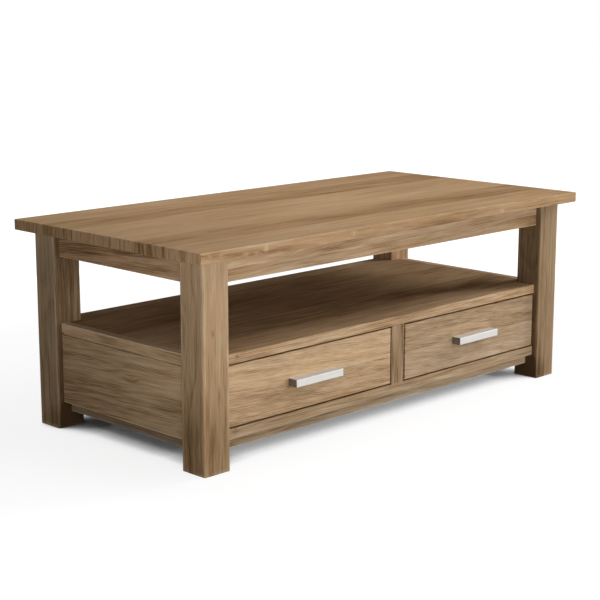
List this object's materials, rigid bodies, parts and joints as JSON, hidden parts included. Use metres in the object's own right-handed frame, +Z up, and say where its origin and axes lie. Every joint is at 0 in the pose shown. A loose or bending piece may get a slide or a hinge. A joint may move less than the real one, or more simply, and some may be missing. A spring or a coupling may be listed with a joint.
{
  "type": "coffee table",
  "caption": "Rectangular oak coffee table with square legs, an open shelf and, below it, a case of sliding drawers with solid metal bar handles.",
  "frame": {"origin": "on the floor under the middle of the top", "axes": "+X along the table to the right seen from the drawers, drawers open towards -Y, +Z up"},
  "size_m": [1.2, 0.6, 0.45],
  "materials": {
    "oak": "satin oak, light brown",
    "drawer_timber": "pale sanded hardwood",
    "drawer_ply": "pale plywood",
    "inner_timber": "sanded, unfinished",
    "handle_metal": "satin brushed",
    "screw_steel": "zinc plated"
  },
  "bodies": {
    "table_frame": {"apron_front": "oak", "apron_left": "oak", "apron_rear": "oak", "apron_right": "oak", "case_bottom": "inner_timber", "divider_post": "oak", "drawer_guide_left": "inner_timber", "drawer_guide_right": "inner_timber", "drawer_stops": "inner_timber", "end_panel_left": "oak", "end_panel_right": "oak", "front_rail": "oak", "leg_front_left": "oak", "leg_front_right": "oak", "leg_rear_left": "oak", "leg_rear_right": "oak", "partition": "inner_timber", "plinth_front": "oak", "plinth_left": "oak", "plinth_rear": "oak", "plinth_right": "oak", "rear_panel": "oak", "runner_left_inner": "inner_timber", "runner_left_outer": "inner_timber", "runner_right_inner": "inner_timber", "runner_right_outer": "inner_timber", "shelf_board": "oak", "shelf_lipping_left": "oak", "shelf_lipping_right": "oak", "table_top": "oak", "top_batten_front": "inner_timber", "top_batten_left": "inner_timber", "top_batten_rear": "inner_timber", "top_batten_right": "inner_timber", "top_screws": "screw_steel"},
    "drawer_left": {"drawer_left_back": "drawer_timber", "drawer_left_base": "drawer_ply", "drawer_left_base_screws": "screw_steel", "drawer_left_front": "oak", "drawer_left_handle": "handle_metal", "drawer_left_handle_screws": "screw_steel", "drawer_left_left_side": "drawer_timber", "drawer_left_right_side": "drawer_timber"},
    "drawer_right": {"drawer_right_back": "drawer_timber", "drawer_right_base": "drawer_ply", "drawer_right_base_screws": "screw_steel", "drawer_right_front": "oak", "drawer_right_handle": "handle_metal", "drawer_right_handle_screws": "screw_steel", "drawer_right_left_side": "drawer_timber", "drawer_right_right_side": "drawer_timber"}
  },
  "joints": [
    {"name": "drawer_left_slide", "type": "slide", "parent": "table_frame", "child": "drawer_left", "axis": [0, -1, 0], "range_m": [0, 0.3]},
    {"name": "drawer_right_slide", "type": "slide", "parent": "table_frame", "child": "drawer_right", "axis": [0, -1, 0], "range_m": [0, 0.3]}
  ]
}
